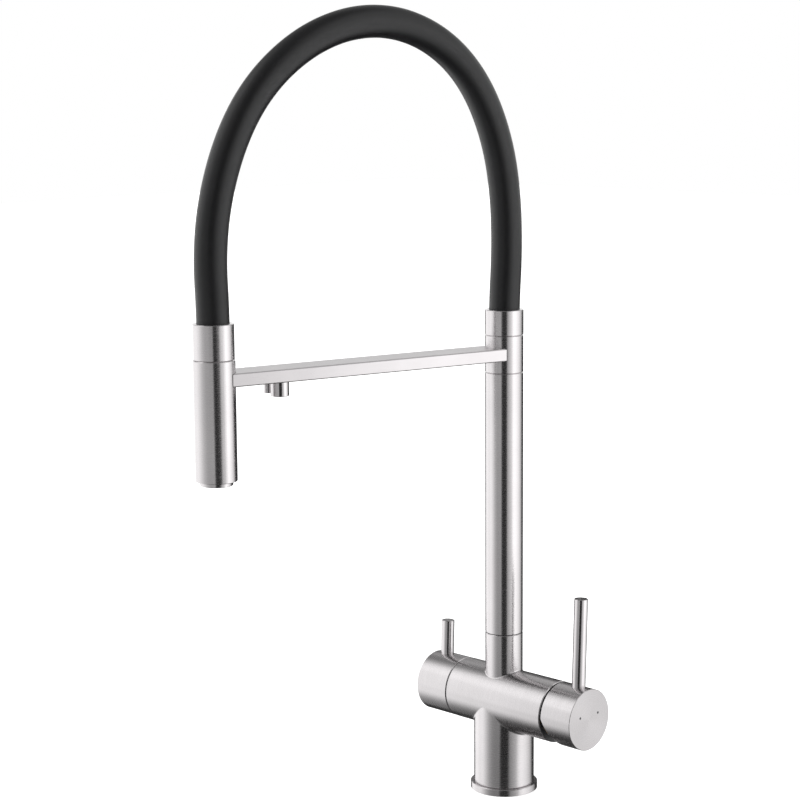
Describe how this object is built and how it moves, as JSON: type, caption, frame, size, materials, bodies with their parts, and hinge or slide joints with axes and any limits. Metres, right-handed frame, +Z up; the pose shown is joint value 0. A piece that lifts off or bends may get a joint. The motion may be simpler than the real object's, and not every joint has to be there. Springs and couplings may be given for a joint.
{
  "type": "kitchen mixer tap",
  "caption": "Kitchen mixer tap with an arched hose and pull-off spray head held by a swivelling arm, a side mixer lever and a filtered-water lever with its own outlet.",
  "frame": {"origin": "mouth of the fixing-stud hole, in the middle of the base ring on the worktop plane", "axes": "+Z up, +X along the cross barrel towards the mixer lever, -Y towards the user"},
  "size_m": [0.1541, 0.2685, 0.5799],
  "materials": {
    "brushed_stainless": "brushed",
    "brass": "machined",
    "plain_steel": "plain",
    "cartridge_plastic": "moulded",
    "ceramic": "lapped ceramic",
    "black_rubber": "matte",
    "black_silicone": "smooth matte",
    "tube_plastic": "extruded",
    "aerator_plastic": "moulded"
  },
  "bodies": {
    "root": {"base_ring": "brushed_stainless", "base_gasket": "black_rubber", "barrel_foot": "brushed_stainless", "tap_body": "brushed_stainless", "cartridge_sleeve": "brushed_stainless", "valve_sleeve": "brushed_stainless", "neck_sleeve": "brushed_stainless", "base_insert": "brass", "insert_seal": "black_rubber", "cartridge_seals": "black_rubber", "mixer_cartridge": "cartridge_plastic", "mixer_fixed_disc": "ceramic", "mixer_nut": "brass", "cap_glide_ring": "aerator_plastic", "filter_valve_seals": "black_rubber", "filter_valve": "brass", "knob_glide_ring": "aerator_plastic", "filter_fixed_disc": "ceramic", "lower_swivel_bush": "aerator_plastic", "upper_swivel_bush": "aerator_plastic", "swivel_stop_screw": "plain_steel"},
    "spout": {"spout_spigot": "brass", "swivel_seals": "black_rubber", "riser_tube": "brushed_stainless", "filter_water_tube": "tube_plastic", "water_manifold": "brass", "manifold_seal": "black_rubber", "arm_collar": "brushed_stainless", "arm_bar": "brushed_stainless", "arm_water_tube": "tube_plastic", "dock_magnet": "plain_steel", "filter_nozzle": "brushed_stainless", "filter_aerator": "aerator_plastic", "outlet_lock_screw": "brushed_stainless", "riser_ferrule": "brushed_stainless", "water_hose": "black_rubber", "silicone_hose": "black_silicone"},
    "spray_head": {"head_ferrule": "brushed_stainless", "head_shell": "brushed_stainless", "head_core": "brass", "head_seal": "black_rubber", "check_valve": "cartridge_plastic", "head_magnet": "plain_steel", "aerator_housing": "brushed_stainless", "aerator_insert": "aerator_plastic"},
    "mixer_turret": {"mixer_turret": "cartridge_plastic", "mixer_moving_disc": "ceramic", "stem_pin": "plain_steel"},
    "mixer_lever": {"mixer_stem": "plain_steel", "mixer_cap": "brushed_stainless", "mixer_pin": "brushed_stainless", "mixer_pin_stud": "plain_steel", "mixer_grub_screw": "plain_steel"},
    "filter_lever": {"filter_turning_disc": "ceramic", "filter_spindle": "brass", "filter_knob": "brushed_stainless", "filter_pin": "brushed_stainless", "filter_pin_stud": "plain_steel", "filter_grub_screw": "plain_steel"}
  },
  "joints": [
    {"name": "spout_swivel", "type": "hinge", "parent": "root", "child": "spout", "pos_m": [0, 0, 0.11], "axis": [0, 0, 1], "range_deg": [-76, 104]},
    {"name": "spray_undock", "type": "slide", "parent": "spout", "child": "spray_head", "axis": [-0.2419, -0.9703, 0], "range_m": [0, 0.06], "deforming": ["silicone_hose", "water_hose"]},
    {"name": "mixer_temperature", "type": "hinge", "parent": "root", "child": "mixer_turret", "pos_m": [0.046, 0, 0.0695], "axis": [1, 0, 0], "range_deg": [-43, 47]},
    {"name": "mixer_flow", "type": "hinge", "parent": "mixer_turret", "child": "mixer_lever", "pos_m": [0.046, 0, 0.0695], "axis": [0, 0.9994, -0.0349], "range_deg": [0, 24]},
    {"name": "filter_turn", "type": "hinge", "parent": "root", "child": "filter_lever", "pos_m": [-0.05, 0, 0.0695], "axis": [1, 0, 0], "range_deg": [0, 90]}
  ]
}
